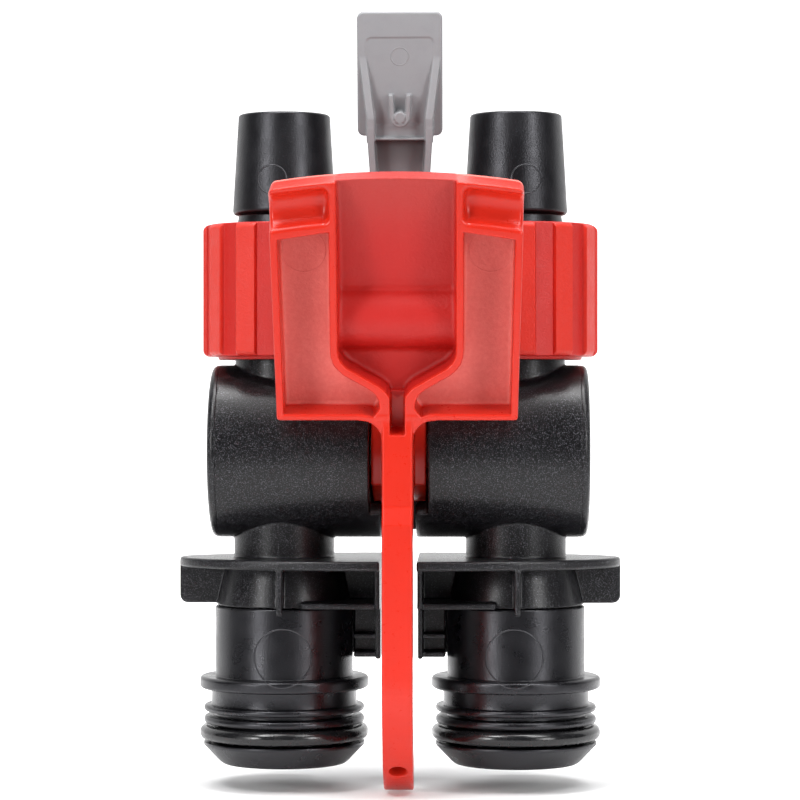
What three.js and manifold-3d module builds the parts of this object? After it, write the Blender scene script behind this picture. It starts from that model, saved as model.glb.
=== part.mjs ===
// A twin seacock valve: two rotary plugs in one barrel, turned together by a cam lever.
// Two hose tails with lock nuts stand above the barrel and two O-ringed spigots plug in below it.
// Millimetres, +Z up the hoses, -Y towards the lever. Everything is modelled about the plug axis,
// and the whole group is lifted so that the flange's seating plane is at z = 0.
import * as THREE from 'three';
import { mergeVertices } from 'three/addons/utils/BufferGeometryUtils.js';
import Module from 'manifold-3d';

const wasm = await Module();
wasm.setup();

// ---- Driving dimensions ----
const GAP = 0.3; // running gap between neighbouring pieces
const ROUND = 20; // sides of a large round
const SMALL_ROUND = 14; // sides of a small round

const COLUMN_X = 22; // each flow column from the plane of symmetry
const BARREL_R = 16.3;
const BARREL_HALF = 33.9; // half length, without the end caps
const CAVITY_R = 12.6; // bore that holds a plug
const CAVITY_INNER_X = 11.9;
const PORT_R = 6.0; // water way
const THROW = 62; // degrees from lever raised to lever lowered

const SEAT_Z = -21.8; // underside of the flange, from the plug axis
const PLATE_TOP_Z = -20;
const FLANGE_HALF_X = 41.8;
const FLANGE_FRONT = 19.5;
const FLANGE_BACK = 15;
const CHANNEL_HALF = 3.4; // half width of the slot that the cam arm swings through
const WEB_T = 1; // thickness of the flange's ribs

const NECK_R = 9.3;
const THREAD_R = 11;
const THREAD_FROM_Z = 18.5;
const NECK_TOP_Z = 30.9;
const TAIL_SOCKET_R = 8.6;
const TAIL_SOCKET_Z = 22.2;
const SEAL_POCKET_R = 8.6;
const SEAL_POCKET_Z = 14.2;
const CONE_BOTTOM_Z = -29.1; // where the body's cone meets the spigot
const SPIGOT_SOCKET_R = 10.3;
const SPIGOT_SOCKET_Z = -24.1;
const SPIGOT_NECK_R = 13.05;

const DRUM_HALF = 5.15; // half width of the lever's drum
const DRUM_CORE_R = 9.5;
const DRUM_SECTOR_R = 12.8;
const SECTOR = [-55, 30]; // degrees round from the front, down positive
const POCKET_HALF = DRUM_HALF + GAP;
const POCKET_R = 13.3;
const WINDOW = [-135, 45];
const POCKET_END = 97;
const SLOT = [40, 111];
const SLOT_HALF = 3.15;
const SQUARE = 6.4; // drive square on each plug
const STEM_R = 5;

const ARM_HALF = 2.8;
const ARM_FRONT = -25.5;
const ARM_BACK = -17.5;
const TOE = { y: -2.9, z: -41.5, outer: 22.6, innerTop: 14.6, innerEnd: 16.4, sweep: 73 };
const TOE_HOLE = { angle: 50, r: 1.65 };

const PADDLE = { y: -24, z: 5.9, lean: 15, depth: 8.7, floor: 7.3 };

const PIN = { y: 10, z: 17.5, r: 1.5 };
const EAR_X = [5.6, 7.3];
const RELEASE_LEAN = 12;
const RELEASE_HALF = 5;

// ---- Shapes ----
const degrees = (angle) => (angle * Math.PI) / 180;

// Points of an arc in the plane, from one angle to another, in degrees.
function arc(cx, cy, radius, from, to, steps) {
  return Array.from({ length: steps + 1 }, (_, i) => {
    const angle = degrees(from + ((to - from) * i) / steps);
    return [cx + radius * Math.cos(angle), cy + radius * Math.sin(angle)];
  });
}

// A point at a radius from the plug axis, by its angle round from the front, as [y, z].
const round = (radius, angle) => [
  -radius * Math.cos(degrees(angle)),
  -radius * Math.sin(degrees(angle)),
];

// A closed solid from a geometry whose triangles share their corners.
function solid(geometry) {
  const source = geometry.index ? geometry.toNonIndexed() : geometry;
  const bare = new THREE.BufferGeometry();
  bare.setAttribute('position', source.getAttribute('position'));
  const merged = mergeVertices(bare, 1e-4);
  const corners = merged.index.array;
  const kept = [];
  for (let i = 0; i < corners.length; i += 3) {
    const [a, b, c] = [corners[i], corners[i + 1], corners[i + 2]];
    if (a !== b && b !== c && c !== a) kept.push(a, b, c);
  }
  return new wasm.Manifold(
    new wasm.Mesh({
      numProp: 3,
      vertProperties: merged.attributes.position.array,
      triVerts: new Uint32Array(kept),
    }),
  );
}

const join = (first, ...rest) => rest.reduce((whole, piece) => whole.add(piece), first);
const cut = (first, ...rest) => rest.reduce((whole, tool) => whole.subtract(tool), first);

// A turned shape about Z. The profile is [radius, height] pairs, up the outside and down the inside.
function turned(profile, segments, closed = true) {
  const points = profile.map(([r, z]) => new THREE.Vector2(r, z));
  if (closed) points.push(points[0].clone());
  return new THREE.LatheGeometry(points, segments).rotateX(Math.PI / 2);
}

const disc = (radius, low, high) => [[0, low], [radius, low], [radius, high], [0, high]];
const post = (radius, low, high, segments = ROUND) =>
  turned(disc(radius, low, high), segments, false);
const axle = (radius, left, right, segments = ROUND) =>
  post(radius, left, right, segments).rotateY(Math.PI / 2);
const columnPost = (side, radius, low, high, segments = ROUND) =>
  solid(post(radius, low, high, segments).translate(side * COLUMN_X, 0, 0));

function extruded(points, depth) {
  const shape = new THREE.Shape(points.map(([a, b]) => new THREE.Vector2(a, b)));
  return new THREE.ExtrudeGeometry(shape, { depth, bevelEnabled: false });
}

// An outline in X and Y, between two heights.
const planSlab = (points, low, high) => extruded(points, high - low).translate(0, 0, low);

// An outline in Y and Z, between two places on X.
function sideSlab(points, left, right) {
  const basis = new THREE.Matrix4().makeBasis(
    new THREE.Vector3(0, 1, 0),
    new THREE.Vector3(0, 0, 1),
    new THREE.Vector3(1, 0, 0),
  );
  return extruded(points, right - left).applyMatrix4(basis).translate(left, 0, 0);
}

// An outline in X and Z, between two places on Y.
const frontSlab = (points, front, back) =>
  extruded(points, back - front).rotateX(Math.PI / 2).translate(0, back, 0);

const box = (x, y, z) =>
  new THREE.BoxGeometry(x[1] - x[0], y[1] - y[0], z[1] - z[0]).translate(
    (x[0] + x[1]) / 2,
    (y[0] + y[1]) / 2,
    (z[0] + z[1]) / 2,
  );

// A box on one side of the plane of symmetry.
function sideBox(side, x, y, z) {
  const across = [side * x[0], side * x[1]].sort((a, b) => a - b);
  return solid(box(across, y, z));
}

// A wedge about the plug axis.
function wedge([from, to], radius, half) {
  const rim = Array.from({ length: 9 }, (_, i) => round(radius, from + ((to - from) * i) / 8));
  return solid(sideSlab([[0, 0], ...rim], -half, half));
}

const mirrored = (points, side) => points.map(([x, y]) => [side * x, y]);

// ---- Valve body ----
function flangeHalf(side) {
  const steps = 9;
  const inner = CHANNEL_HALF / FLANGE_HALF_X;
  const edge = (depth, sign) =>
    Array.from({ length: steps + 1 }, (_, i) => {
      const share = inner + (1 - inner) * Math.sin((Math.PI / 2) * (i / steps));
      return [FLANGE_HALF_X * share, sign * depth * Math.sqrt(1 - share * share)];
    });
  const outline = [...edge(FLANGE_FRONT, -1), ...edge(FLANGE_BACK, 1).reverse().slice(1)];
  const plate = solid(planSlab(mirrored(outline, side), SEAT_Z, PLATE_TOP_Z));

  const keyBottom = -28.8;
  const keyCorner = 1.5;
  const key = [
    [COLUMN_X, SEAT_Z + 1],
    [COLUMN_X, keyBottom],
    ...arc(FLANGE_HALF_X - keyCorner, keyBottom + keyCorner, keyCorner, -90, 0, 3),
    [FLANGE_HALF_X, SEAT_Z + 1],
  ];
  const gussetHalf = 0.55;
  const gusset = (outline) =>
    solid(sideSlab(outline, side * COLUMN_X - gussetHalf, side * COLUMN_X + gussetHalf));
  const frontGusset = gusset([
    [-10, SEAT_Z + 1],
    [-16.4, SEAT_Z + 1],
    [-16.4, -29.6],
    [-15.8, -30.3],
    [-14.8, -30.3],
    [-14.2, CONE_BOTTOM_Z],
    [-10, CONE_BOTTOM_Z],
  ]);
  const backGusset = gusset([
    [10, SEAT_Z + 1],
    [12.6, SEAT_Z + 1],
    [12.6, CONE_BOTTOM_Z],
    [10, CONE_BOTTOM_Z],
  ]);
  const wall = [CHANNEL_HALF, CHANNEL_HALF + WEB_T];
  const finReach = 8.5;
  return join(
    plate,
    solid(frontSlab(mirrored(key, side), -0.8, 0.8)),
    frontGusset,
    backGusset,
    sideBox(side, wall, [-15, 13.5], [CONE_BOTTOM_Z, SEAT_Z + 1]),
    sideBox(side, wall, [-8, 8], [-38.8, CONE_BOTTOM_Z + 1]),
    sideBox(side, [CHANNEL_HALF, 18], [-14.5, 13], [CONE_BOTTOM_Z, CONE_BOTTOM_Z + 1.1]),
    sideBox(side, [wall[1] - 0.2, finReach], [-0.8, 0.8], [-38.8, CONE_BOTTOM_Z + 0.5]),
    sideBox(side, [wall[1] - 0.2, finReach], [-4, 4], [-38.8, -37.8]),
    sideBox(side, [wall[1] - 0.2, finReach], [-4, 4], [-35.3, -34.4]),
  );
}

function bodyColumn(side) {
  const cone = [[0, CONE_BOTTOM_Z], [12.7, CONE_BOTTOM_Z], [11, SEAT_Z + 0.5], [0, SEAT_Z + 0.5]];
  return join(
    columnPost(side, NECK_R, 0, THREAD_FROM_Z + 0.5),
    columnPost(side, THREAD_R, THREAD_FROM_Z, NECK_TOP_Z),
    columnPost(side, 9.5, SEAT_Z, 0),
    solid(turned(cone, ROUND, false).translate(side * COLUMN_X, 0, 0)),
  );
}

function pinEar(side) {
  const eyeR = 3.2;
  const outline = [
    [4.5, 12],
    [PIN.y - eyeR, PIN.z],
    ...arc(PIN.y, PIN.z, eyeR, 150, 0, 5),
    [13.6, 12],
    [12, 6],
  ];
  const [near, far] = side > 0 ? EAR_X : [-EAR_X[1], -EAR_X[0]];
  const ear = solid(sideSlab(outline, near, far));
  return cut(ear, pinHole());
}

const pinHole = () =>
  solid(axle(PIN.r + GAP, -12, 12, SMALL_ROUND).translate(0, PIN.y, PIN.z));

function plugCavity(side) {
  const ends = side > 0 ? [CAVITY_INNER_X, 40] : [-40, -CAVITY_INNER_X];
  return solid(axle(CAVITY_R, ...ends));
}

function valveBody() {
  const halves = [-1, 1].map((side) =>
    cut(
      join(bodyColumn(side), flangeHalf(side), pinEar(side)),
      columnPost(side, TAIL_SOCKET_R, TAIL_SOCKET_Z, 40),
      columnPost(side, SPIGOT_SOCKET_R, -40, SPIGOT_SOCKET_Z),
    ),
  );
  const whole = join(solid(axle(BARREL_R, -BARREL_HALF, BARREL_HALF, 28)), ...halves);
  const bores = [-1, 1].flatMap((side) => [
    columnPost(side, PORT_R, -30, 40, SMALL_ROUND),
    columnPost(side, SEAL_POCKET_R, -SEAL_POCKET_Z, SEAL_POCKET_Z),
    plugCavity(side),
  ]);
  return cut(
    whole,
    ...bores,
    solid(axle(STEM_R + GAP, -12, 12, SMALL_ROUND)),
    solid(axle(DRUM_CORE_R + 0.5, -POCKET_HALF, POCKET_HALF)),
    wedge(WINDOW, 30, POCKET_HALF),
    wedge([WINDOW[1] - 2, POCKET_END], POCKET_R, POCKET_HALF),
    wedge(SLOT, 19.8, SLOT_HALF),
  );
}

// ---- Flow parts, each about its own column ----
const hoseTail = () =>
  solid(
    turned(
      [
        [8.3, TAIL_SOCKET_Z + GAP],
        [8.3, NECK_TOP_Z + GAP],
        [10.4, NECK_TOP_Z + GAP],
        [10.4, 36.2],
        [8.6, 44.6],
        [9.5, 44.9],
        [9.75, 45.4],
        [8.68, 63.5],
        [8.4, 63.8],
        [7, 63.8],
        [6.3, 62.8],
        [6.3, TAIL_SOCKET_Z + GAP],
      ],
      ROUND,
    ),
  );

const spigot = () =>
  solid(
    turned(
      [
        [9.8, -59.1],
        [11.6, -59.1],
        [12.3, -58.6],
        [15.3, -55.5],
        [15.3, -54.9],
        [12.9, -54.9],
        [12.9, -51.4],
        [15, -51.4],
        [15.3, -50.7],
        [15, -50],
        [13, -50],
        [13, -49.1],
        [15, -49.1],
        [15.3, -48.5],
        [15, -47.9],
        [13.8, -47.9],
        [13.8, -44.8],
        [15.6, -44.8],
        [16, -44.4],
        [16, -42.9],
        [15.6, -42.5],
        [SPIGOT_NECK_R, -42.5],
        [SPIGOT_NECK_R, -29.8],
        [12.7, CONE_BOTTOM_Z - GAP],
        [10, CONE_BOTTOM_Z - GAP],
        [10, SPIGOT_SOCKET_Z - GAP],
        [8.4, SPIGOT_SOCKET_Z - GAP],
        [8.4, -32],
        [9.8, -34],
      ],
      ROUND,
    ),
  );

// A ring of round section about Z.
const ring = (radius, thickness, height, sides = 5, segments = SMALL_ROUND) =>
  turned(arc(radius, height, thickness, 0, 360, sides).slice(0, -1), segments);

const spigotORing = () => solid(ring(14.65, 1.4, -53.15, 7, ROUND));

function lockNut() {
  const [bottom, top] = [17.9, 42.8];
  const ribs = 12;
  const turnedBy = 5;
  const [ribR, rootR] = [15.5, 14.7];
  const rim = Array.from({ length: ribs }, (_, i) => {
    const middle = (360 / ribs) * i - 90 + turnedBy;
    return [[rootR, -8.4], [ribR, -7.2], [ribR, 7.2], [rootR, 8.4]].map(([r, off]) => [
      r * Math.cos(degrees(middle + off)),
      r * Math.sin(degrees(middle + off)),
    ]);
  }).flat();
  const envelope = [
    [11.3, bottom - 0.6],
    [12.5, bottom - 0.6],
    [12.5, bottom],
    [14.7, bottom],
    [16.2, bottom + 1.5],
    [16.2, top - 1.5],
    [14.7, top],
    [12, top],
    [12, 34],
    [11.3, 32],
  ];
  return solid(planSlab(rim, bottom - 1, top + 1)).intersect(solid(turned(envelope, ROUND)));
}

// ---- Pieces on the plug axis ----
function valvePlug(side) {
  const along = (radius, near, far, segments) =>
    solid(axle(radius, ...[side * near, side * far].sort((a, b) => a - b), segments));
  const half = SQUARE / 2;
  const port = solid(post(PORT_R, -20, 20, SMALL_ROUND).rotateX(degrees(-THROW)).translate(side * COLUMN_X, 0, 0));
  const groove = solid(
    turned([[4, 8.1], [6, 8.1], [6, 9.9], [4, 9.9]], SMALL_ROUND).rotateY((side * Math.PI) / 2),
  );
  return cut(
    join(
      along(12.3, 12.2, 31, ROUND),
      along(STEM_R, 5.6, 12.4, SMALL_ROUND),
      along(3.5, 30.8, 33.4, SMALL_ROUND),
      sideBox(side, [0.4, 5.8], [-half, half], [-half, half]),
    ),
    port,
    groove,
  );
}

const stemSeal = (side) => solid(ring(4.6, 0.5, 9).rotateY((side * Math.PI) / 2));
const capSeal = (side) => solid(ring(11.7, 0.7, 33.2).rotateY((side * Math.PI) / 2));

// A rubber seat whose face follows the plug.
function plugSeat(side, up) {
  const [low, high] = up > 0 ? [8, 13.9] : [-13.9, -8];
  const tube = turned([[6.6, low], [8.3, low], [8.3, high], [6.6, high]], ROUND);
  return cut(solid(tube.translate(side * COLUMN_X, 0, 0)), plugCavity(side));
}

const endCap = (side) =>
  solid(
    turned(
      [
        [0, 33.8],
        [3.8, 33.8],
        [3.8, 31.3],
        [12.2, 31.3],
        [12.2, 32.2],
        [10.7, 32.2],
        [10.7, 34.2],
        [16.2, 34.2],
        [15.9, 35],
        [14.9, 35.5],
        [0, 35.5],
      ],
      ROUND,
      false,
    ).rotateY((side * Math.PI) / 2),
  );

// ---- Cam lever ----
const paddleTurn = new THREE.Matrix4()
  .makeTranslation(0, PADDLE.y, PADDLE.z)
  .multiply(new THREE.Matrix4().makeRotationX(degrees(90 + PADDLE.lean)));

// An outline across and up the paddle, between two depths. Depth 0 is the rim, and is the front.
const paddleSlab = (points, back, front) =>
  solid(extruded(points, front - back).translate(0, 0, back).applyMatrix4(paddleTurn));

// An outline up and out of the paddle, between two places on X.
function paddleBar(points, left, right) {
  const basis = new THREE.Matrix4().makeBasis(
    new THREE.Vector3(0, 1, 0),
    new THREE.Vector3(0, 0, 1),
    new THREE.Vector3(1, 0, 0),
  );
  const bar = extruded(points, right - left).applyMatrix4(basis).translate(left, 0, 0);
  return solid(bar.applyMatrix4(paddleTurn));
}

function paddle() {
  const [bottomHalf, topHalf, shoulder] = [21.9, 22.9, 42.6];
  const archR = 146;
  const archHalf = (Math.asin(topHalf / archR) * 180) / Math.PI;
  const archY = shoulder - archR * Math.cos(degrees(archHalf));
  const outline = [
    [-bottomHalf, 0],
    [bottomHalf, 0],
    ...arc(0, archY, archR, 90 - archHalf, 90 + archHalf, 8),
  ];
  const stemFillet = 4;
  const fillets = [
    ...arc(ARM_HALF + stemFillet, -stemFillet, stemFillet, 90, 180, 4),
    ...arc(-ARM_HALF - stemFillet, -stemFillet, stemFillet, 0, 90, 4),
    [-ARM_HALF - stemFillet, 1],
    [ARM_HALF + stemFillet, 1],
  ];
  const pocket = [
    [3.2, 1.2],
    [20.6, 1.2],
    [21.3, 33.4],
    [12.1, 34.8],
    [12.1, 10.7],
    [10.9, 8.7],
    [3.2, 4.2],
  ];
  const pockets = [-1, 1].map((side) => paddleSlab(mirrored(pocket, side), -PADDLE.floor, 1));
  const coves = [-1, 1].map((side) => {
    const [left, right] = side > 0 ? [12.1, 25] : [-25, -12.1];
    return paddleBar(arc(38.4, 0.6, 3.3, 0, 360, 14).slice(0, -1), left, right);
  });

  // The middle channel runs down into the slot of the arm, over a raised roll.
  const rollU = 17.3;
  const floor = [
    [47, -0.9],
    [44, -2.2],
    [40, -3.9],
    [36, -5.3],
    [30, -6.7],
    [25, -PADDLE.floor],
    ...arc(rollU, -9.08, 5.78, 18, 162, 7),
    [4, -PADDLE.floor],
    [4, 1],
    [47, 1],
  ];
  const funnel = [[10.7, 48], [10.7, 12.1], [9.9, 10.4], [1.9, 5.9], [1.4, 4.2]];
  const funnelOutline = [...funnel, ...mirrored(funnel, -1).reverse()];
  const channel = paddleBar(floor, -12, 12).intersect(paddleSlab(funnelOutline, -9, 2));
  const backRecess = paddleBar(arc(rollU, -9.08, 4.4, 0, 360, 14).slice(0, -1), -10.7, 10.7);
  return cut(
    join(paddleSlab(outline, -PADDLE.depth, 0), paddleSlab(fillets, -5, 0)),
    ...pockets,
    ...coves,
    channel,
    backRecess,
  );
}

function camArm() {
  const { y, z, outer, innerTop, innerEnd, sweep } = TOE;
  const steps = 7;
  const bend = (radiusAt) =>
    Array.from({ length: steps + 1 }, (_, i) => {
      const angle = degrees((sweep * i) / steps);
      const radius = radiusAt(i / steps);
      return [y - radius * Math.cos(angle), z - radius * Math.sin(angle)];
    });
  const outline = [
    [PADDLE.y, 6.5],
    [PADDLE.y, -10.8],
    [ARM_FRONT, -14.4],
    ...bend(() => outer),
    ...bend((share) => innerTop + (innerEnd - innerTop) * share).reverse(),
    [ARM_BACK, 8],
  ];
  const web = [[-8, 5], [-13, 7.5], [-16.3, 9], [-20, 8], [-20, -14], [ARM_BACK, -16], [-8, -8], [-4, 0]];
  const [holeY, holeZ] = [-Math.cos(degrees(TOE_HOLE.angle)), -Math.sin(degrees(TOE_HOLE.angle))];
  const hole = post(TOE_HOLE.r, 10, 26, SMALL_ROUND)
    .applyMatrix4(
      new THREE.Matrix4().makeRotationFromQuaternion(
        new THREE.Quaternion().setFromUnitVectors(
          new THREE.Vector3(0, 0, 1),
          new THREE.Vector3(0, holeY, holeZ),
        ),
      ),
    )
    .translate(0, y, z);
  return cut(
    join(solid(sideSlab(outline, -ARM_HALF, ARM_HALF)), solid(sideSlab(web, -ARM_HALF, ARM_HALF))),
    solid(hole),
  );
}

function camLever() {
  const socket = SQUARE / 2 + GAP;
  const stemSlot = [[-1.35, -2.6], [1.35, -2.6], [1.35, 6], [-1.35, 6]];
  return cut(
    join(
      solid(axle(DRUM_CORE_R, -DRUM_HALF, DRUM_HALF)),
      wedge(SECTOR, DRUM_SECTOR_R, DRUM_HALF),
      camArm(),
      paddle(),
    ),
    solid(box([-6, 6], [-socket, socket], [-socket, socket])),
    paddleSlab(stemSlot, -5.6, 1),
  );
}

// ---- Release lever, in its own frame: the pin is the origin and +Z runs up the lever ----
function releaseHook() {
  // Its outline is laid out about the plug axis, then brought into the lever's frame.
  const lean = degrees(RELEASE_LEAN);
  const inFrame = ([y, z]) => {
    const [dy, dz] = [y - PIN.y, z - PIN.z];
    return [dy * Math.cos(lean) + dz * Math.sin(lean), -dy * Math.sin(lean) + dz * Math.cos(lean)];
  };
  const outline = [
    round(10.1, -58),
    round(10.1, -72),
    round(10.8, -76),
    round(10.8, -95),
    round(10.8, -115),
    [PIN.y - 1, PIN.z - 3],
    [PIN.y, PIN.z],
    [PIN.y - 2, PIN.z + 2.6],
    round(16.5, -104),
    round(14.2, -93),
    round(13.4, -78),
    round(13.2, -58),
  ];
  return solid(sideSlab(outline.map(inFrame), -RELEASE_HALF, RELEASE_HALF));
}

function releaseLever() {
  const halfAt = (height) => 3.4 + 0.065 * height;
  const [low, plateLow, high] = [1.5, 43.4, 66.9];
  const legT = 1.6;
  const [front, webFront, back] = [-2.5, 0.1, 1.5];
  const trapezoid = (inset, bottom, top) => [
    [-halfAt(bottom) + inset, bottom],
    [halfAt(bottom) - inset, bottom],
    [halfAt(top) - inset, top],
    [-halfAt(top) + inset, top],
  ];
  const plateHalf = 8.1;
  const cornerR = 1.3;
  const corner = (x, z, from) => arc(x, z, cornerR, from, from + 90, 3);
  const plate = [
    ...corner(plateHalf - cornerR, high - cornerR, 0),
    ...corner(-plateHalf + cornerR, high - cornerR, 90),
    ...corner(-plateHalf + cornerR, plateLow + cornerR, 180),
    ...corner(plateHalf - cornerR, plateLow + cornerR, 270),
  ];
  const ribs = [-1, 1].map((side) => {
    const outline = [[front, plateLow - 1], [0.5, plateLow - 1], [0.5, 60], [0, 60], [front, plateLow + 4]];
    const [near, far] = [side * 5.4, side * 6.9].sort((a, b) => a - b);
    return solid(sideSlab(outline, near, far));
  });
  const stem = cut(
    solid(frontSlab(trapezoid(0, low, plateLow + 2), front, back)),
    solid(frontSlab(trapezoid(legT, low + 1, plateLow), front - 1, webFront)),
  );
  const coilRoom = solid(axle(4.2, -2.7, 2.7, SMALL_ROUND));
  return cut(
    join(
      solid(axle(3.4, -RELEASE_HALF, RELEASE_HALF, SMALL_ROUND)),
      releaseHook(),
      stem,
      solid(frontSlab(plate, 0, back)),
      ...ribs,
    ),
    coilRoom,
    solid(axle(PIN.r + GAP, -12, 12, SMALL_ROUND)),
  );
}

const releasePin = () =>
  join(solid(axle(PIN.r, -7.9, 8, SMALL_ROUND)), solid(axle(2.4, 7.6, 8.5, SMALL_ROUND)));

// A torsion spring round the pin: one leg up the lever's channel, one down onto the barrel.
function releaseSpring() {
  const [coilR, wireR, coilHalf] = [2.9, 0.4, 1.5];
  const turns = 2.5;
  const stepsPerTurn = 9;
  const coilSteps = turns * stepsPerTurn;
  const coil = [];
  for (let i = 0; i <= coilSteps; i += 1) {
    const share = i / coilSteps;
    const angle = Math.PI + 2 * Math.PI * turns * share;
    coil.push([-coilHalf + 2 * coilHalf * share, coilR * Math.cos(angle), coilR * Math.sin(angle)]);
  }
  const path = [
    [-coilHalf, -0.9, 11],
    [-coilHalf, -1.9, 5.5],
    ...coil,
    [coilHalf, 3.9, -3.4],
    [coilHalf, 4.4, -5.7],
  ];
  const route = new THREE.CatmullRomCurve3(path.map((point) => new THREE.Vector3(...point)));
  const section = new THREE.Shape(arc(0, 0, wireR, 0, 360, 6).slice(0, -1).map(([a, b]) => new THREE.Vector2(a, b)));
  return solid(
    new THREE.ExtrudeGeometry(section, { steps: 36, bevelEnabled: false, extrudePath: route }),
  );
}

// ---- Assembly ----
const materials = {
  black: { color: 0x17181a, roughness: 0.5, metalness: 0 },
  red: { color: 0xd3201f, roughness: 0.38, metalness: 0 },
  grey: { color: 0x8b8d8f, roughness: 0.45, metalness: 0 },
  rubber: { color: 0x0d0d0e, roughness: 0.7, metalness: 0 },
  steel: { color: 0xb9bcc0, roughness: 0.3, metalness: 1 },
  white: { color: 0xd9d8d2, roughness: 0.45, metalness: 0 },
};

function piece(name, shape, look) {
  const { vertProperties, triVerts } = shape.getMesh();
  const geometry = new THREE.BufferGeometry();
  geometry.setAttribute('position', new THREE.BufferAttribute(vertProperties, 3));
  geometry.setIndex(new THREE.BufferAttribute(triVerts, 1));
  geometry.computeVertexNormals();
  const mesh = new THREE.Mesh(geometry, new THREE.MeshStandardMaterial(materials[look]));
  mesh.name = name;
  return mesh;
}

const valve = new THREE.Group();
valve.position.z = -SEAT_Z;
valve.add(piece('valve_body', valveBody(), 'black'));
valve.add(piece('cam_lever', camLever(), 'red'));

for (const [side, word] of [[-1, 'left'], [1, 'right']]) {
  const column = new THREE.Group();
  column.position.x = side * COLUMN_X;
  column.add(piece(`hose_tail_${word}`, hoseTail(), 'black'));
  column.add(piece(`lock_nut_${word}`, lockNut(), 'red'));
  column.add(piece(`spigot_${word}`, spigot(), 'black'));
  column.add(piece(`spigot_o_ring_${word}`, spigotORing(), 'rubber'));
  valve.add(column);

  valve.add(piece(`valve_plug_${word}`, valvePlug(side), 'white'));
  valve.add(piece(`stem_seal_${word}`, stemSeal(side), 'rubber'));
  valve.add(piece(`upper_seat_${word}`, plugSeat(side, 1), 'rubber'));
  valve.add(piece(`lower_seat_${word}`, plugSeat(side, -1), 'rubber'));
  valve.add(piece(`end_cap_${word}`, endCap(side), 'black'));
  valve.add(piece(`cap_seal_${word}`, capSeal(side), 'rubber'));
}

const hinge = new THREE.Group();
hinge.position.set(0, PIN.y, PIN.z);
hinge.add(piece('release_pin', releasePin(), 'steel'));
const release = new THREE.Group();
release.rotation.x = degrees(RELEASE_LEAN);
release.add(piece('release_lever', releaseLever(), 'grey'));
release.add(piece('release_spring', releaseSpring(), 'steel'));
hinge.add(release);
valve.add(hinge);

export default valve;
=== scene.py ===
"""A twin seacock valve in red and black moulded plastic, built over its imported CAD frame.

Shapes are distance fields in millimetres about the plug axis: a field is negative inside the solid.
x runs along the plug axis, y to the back and z upwards.
"""

import math

import bpy
import numpy as np
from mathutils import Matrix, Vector


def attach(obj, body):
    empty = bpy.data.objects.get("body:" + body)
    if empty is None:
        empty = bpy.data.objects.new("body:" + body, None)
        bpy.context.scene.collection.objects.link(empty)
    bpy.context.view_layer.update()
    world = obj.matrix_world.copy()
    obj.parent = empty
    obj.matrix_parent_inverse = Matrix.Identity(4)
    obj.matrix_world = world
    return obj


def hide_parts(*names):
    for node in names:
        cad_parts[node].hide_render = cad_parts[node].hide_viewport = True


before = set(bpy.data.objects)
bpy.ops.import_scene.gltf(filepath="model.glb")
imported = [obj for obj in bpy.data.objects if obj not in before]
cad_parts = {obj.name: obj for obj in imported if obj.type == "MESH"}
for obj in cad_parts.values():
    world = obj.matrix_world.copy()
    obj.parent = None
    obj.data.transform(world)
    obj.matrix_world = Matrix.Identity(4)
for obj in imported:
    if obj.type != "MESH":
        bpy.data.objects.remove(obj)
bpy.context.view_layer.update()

# ---- Driving dimensions, in millimetres about the plug axis ----
LIFT = 21.8  # plug axis above the flange's seat
GAP = 0.3  # running gap between neighbouring pieces
GRID = 0.3  # spacing of the grid that a field is sampled on
COLUMN_X = 22  # a tail's and a spigot's axis from the plane of symmetry
BARREL_R = 16.3
BARREL_HALF = 34.05
CAVITY_R = 12.6
PORT_R = 6.0
SOCKET_R = 8.6  # round a seat or a tail's plug
SEAT_Z = -LIFT
PLATE_TOP_Z = -20
CHANNEL_HALF = 3.4  # the gap in the flange that the arm swings through
CHANNEL_BOTTOM_Z = -38.8
CONE_BOTTOM_Z = -29.1
NECK_TOP_Z = 30.9
TAIL_SOCKET_Z = 22.2
DRUM_HALF = 5.15
DRUM_R = 9.5
CAM_R = 12.8  # the drum's raised sector
DRUM_CLEARANCE = 0.5
ARM_HALF = 2.8
TOE_Y = -2.9  # the arm's lower end curves inwards about this line, to the toe
TOE_Z = -41.5
TOE_HOLE_ANGLE = math.radians(50)
TOE_HOLE_R = 1.65
STEM_R = 5
PADDLE_Y = -24
PADDLE_Z = 5.9
PADDLE_LEAN = math.radians(15)
PADDLE_DEPTH = 8.7
PADDLE_FLOOR = -7.3
PADDLE_WALL = (10.7, 12.1)  # between the middle channel and a pocket
PIN_Y = 10
PIN_Z = 17.5
PIN_R = 1.5
RELEASE_LEAN = math.radians(12)
RELEASE_HALF = 5


# ---- Fields ----
def add(first, second, fillet=0.0):
    """Joins two fields, with a fillet where they meet."""
    if not fillet:
        return np.minimum(first, second)
    rest = np.maximum(fillet - first, 0), np.maximum(fillet - second, 0)
    return np.maximum(fillet, np.minimum(first, second)) - np.hypot(*rest)


def both(first, second, edge=0.3):
    """What two fields share, with the edge between them rounded."""
    return -add(-first, -second, edge)


def take(first, second, edge=0.3):
    """The first field with the second cut away."""
    return both(first, -second, edge)


def between(value, low, high):
    """A slab between two heights."""
    return np.maximum(low - value, value - high)


def block(point, ranges, edge=0.25):
    """A box with rounded edges."""
    over = []
    for value, (low, high) in zip(point, ranges):
        over.append(np.abs(value - (low + high) / 2) - (high - low) / 2 + edge)
    outside = np.sqrt(sum(np.maximum(v, 0) ** 2 for v in over))
    inside = np.minimum(np.maximum(np.maximum(over[0], over[1]), over[2]), 0)
    return outside + inside - edge


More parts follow.
